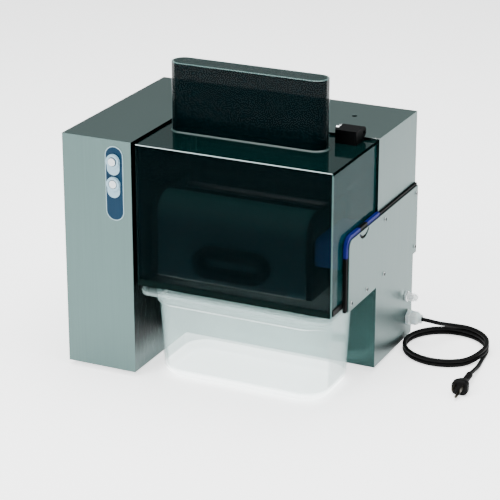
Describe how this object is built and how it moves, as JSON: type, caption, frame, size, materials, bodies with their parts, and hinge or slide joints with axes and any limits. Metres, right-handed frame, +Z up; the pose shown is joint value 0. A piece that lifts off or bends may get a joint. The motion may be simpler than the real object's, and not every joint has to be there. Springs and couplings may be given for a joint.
{
  "type": "countertop food roller machine",
  "caption": "Countertop food machine with a steel body, hinged smoked guard with slot chute, roller cartridge, push buttons, side bearing plate, clear catch pan and coiled mains lead.",
  "frame": {"origin": "on the surface it stands on, under the middle of the machine's box, measured without the lead", "axes": "+Z up, +X towards the bearing plate side with the lead, +Y towards the back, so the controls face -Y"},
  "size_m": [0.6201, 0.386, 0.497],
  "materials": {
    "steel": "vertical brushed stainless steel",
    "steel_parts": "satin stainless steel",
    "smoked_clear": "polished smoked polycarbonate",
    "clear_plastic": "clear moulded polycarbonate",
    "boot_clear": "clear flexible vinyl",
    "black_plastic": "satin black moulded plastic",
    "guard_tint": "dark grey-green satin plastic sheet",
    "blue_plastic": "machined blue food-grade plastic",
    "white_plastic": "white moulded nylon",
    "label_blue": "gloss printed film",
    "button_plate": "pale moulded plastic",
    "button_cap": "pale gloss plastic",
    "grey_plastic": "grey moulded plastic",
    "rubber_black": "moulded rubber",
    "cord_rubber": "rubber-sheathed lead",
    "motor_paint": "grey enamel",
    "cast_metal": "cast and machined",
    "aluminium": "machined aluminium",
    "copper": "enamelled windings",
    "board_green": "circuit board",
    "chrome_parts": "bright plated",
    "brass_pins": "nickel-brass pins"
  },
  "bodies": {
    "housing": {"tower_housing": "steel", "rear_housing": "steel", "base_plate": "steel_parts", "back_panel": "steel", "back_panel_screws": "steel_parts", "feet": "rubber_black", "control_label": "label_blue", "button_plates": "button_plate", "switch_blocks": "grey_plastic", "bearing_plate": "blue_plastic", "plate_spacer": "black_plastic", "side_plate": "steel", "side_plate_screws": "steel_parts", "cover_rests": "black_plastic", "hinge_brackets": "steel_parts", "hinge_pins": "chrome_parts", "interlock_switch": "grey_plastic", "left_cheek": "black_plastic", "right_cheek": "black_plastic", "journal_block": "blue_plastic", "tie_rods": "steel_parts", "comb_bars": "steel_parts", "guard_sheet": "guard_tint", "grip_ring": "black_plastic", "shaft_bearings": "chrome_parts", "bearing_bracket": "cast_metal", "drive_belt": "rubber_black", "gearbox": "cast_metal", "motor_housing": "motor_paint", "stator": "copper", "motor_bracket": "steel_parts", "capacitor": "aluminium", "control_board": "board_green", "reset_nut": "chrome_parts", "reset_boot": "boot_clear", "cable_gland": "white_plastic", "cord_lead": "cord_rubber", "cord_coil": "cord_rubber", "cord_tail": "cord_rubber", "plug": "black_plastic", "plug_pins": "brass_pins"},
    "guard": {"guard_cover": "smoked_clear", "feed_chute": "smoked_clear", "hinge_blocks": "black_plastic", "cover_magnet": "black_plastic"},
    "pan": {"catch_pan": "clear_plastic"},
    "start": {"start_button": "button_cap"},
    "stop": {"stop_button": "button_cap"},
    "reset": {"reset_button": "white_plastic"},
    "rotor_group": {"rotor": "steel_parts", "cooling_fan": "black_plastic"},
    "output": {"gearbox_shaft": "steel_parts", "motor_pulley": "aluminium"},
    "rear_roller_group": {"rear_roller": "steel_parts", "rear_gear": "steel_parts", "drive_coupling": "steel_parts", "drive_shaft": "steel_parts", "drive_pulley": "aluminium"},
    "front_roller_group": {"front_roller": "steel_parts", "front_gear": "steel_parts"}
  },
  "joints": [
    {"name": "cover_hinge", "type": "hinge", "parent": "housing", "child": "guard", "pos_m": [0, 0.0065, 0.399], "axis": [-1, 0, 0], "range_deg": [0, 95]},
    {"name": "pan_slide", "type": "slide", "parent": "housing", "child": "pan", "axis": [0, -1, 0], "range_m": [0, 0.2]},
    {"name": "start_press", "type": "slide", "parent": "housing", "child": "start", "axis": [0, 1, 0], "range_m": [0, 0.003], "stiffness_N_per_m": 600},
    {"name": "stop_press", "type": "slide", "parent": "housing", "child": "stop", "axis": [0, 1, 0], "range_m": [0, 0.003], "stiffness_N_per_m": 600},
    {"name": "reset_press", "type": "slide", "parent": "housing", "child": "reset", "axis": [-1, 0, 0], "range_m": [0, 0.003], "stiffness_N_per_m": 600},
    {"name": "rotor_spin", "type": "hinge", "parent": "housing", "child": "rotor_group", "pos_m": [0.04, 0.0945, 0.125], "axis": [1, 0, 0], "continuous": true},
    {"name": "output_spin", "type": "hinge", "parent": "housing", "child": "output", "pos_m": [-0.15, 0.0945, 0.125], "axis": [1, 0, 0], "continuous": true},
    {"name": "rear_roller_spin", "type": "hinge", "parent": "housing", "child": "rear_roller_group", "pos_m": [0.03, -0.041, 0.238], "axis": [1, 0, 0], "continuous": true},
    {"name": "front_roller_spin", "type": "hinge", "parent": "housing", "child": "front_roller_group", "pos_m": [0.03, -0.081, 0.238], "axis": [1, 0, 0], "continuous": true}
  ],
  "couplings": [
    {"joint": "output_spin", "follows": "rotor_spin", "ratio": 0.25},
    {"joint": "rear_roller_spin", "follows": "rotor_spin", "ratio": 0.075758},
    {"joint": "front_roller_spin", "follows": "rotor_spin", "ratio": -0.075758}
  ]
}
